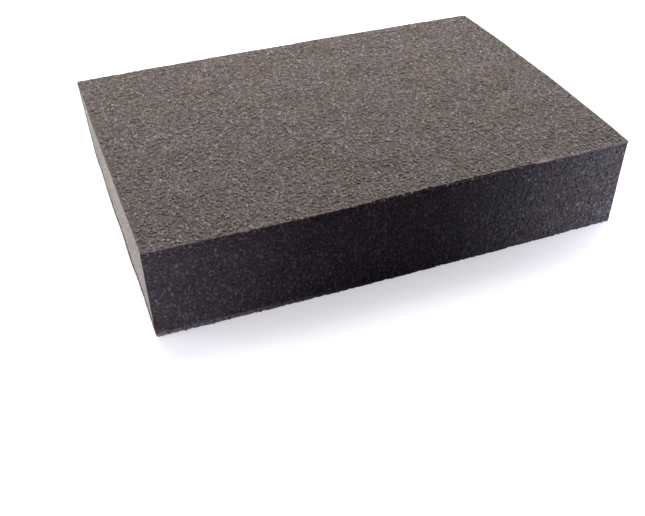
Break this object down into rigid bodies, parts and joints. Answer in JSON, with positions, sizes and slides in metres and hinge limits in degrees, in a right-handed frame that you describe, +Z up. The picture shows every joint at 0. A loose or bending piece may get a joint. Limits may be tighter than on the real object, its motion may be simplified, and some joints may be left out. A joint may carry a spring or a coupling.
{
  "type": "sanding sponge",
  "caption": "Rectangular hand sanding sponge: grey foam block with dark abrasive coats on four faces and two bare foam ends.",
  "frame": {"origin": "centre of the block's footprint, on the face that it rests on", "axes": "+X along the length, towards the more bowed end; +Y across the width, from the front side coat to the back one; +Z up, through the thickness"},
  "size_m": [0.1, 0.07, 0.0195],
  "materials": {
    "foam": "bare light grey foam with fine cells, matt",
    "abrasive": "dark brown grit set in resin, rough with small glints"
  },
  "bodies": {
    "root": {"foam_core": "foam", "top_coat": "abrasive", "bottom_coat": "abrasive", "front_coat": "abrasive", "back_coat": "abrasive"}
  },
  "joints": []
}
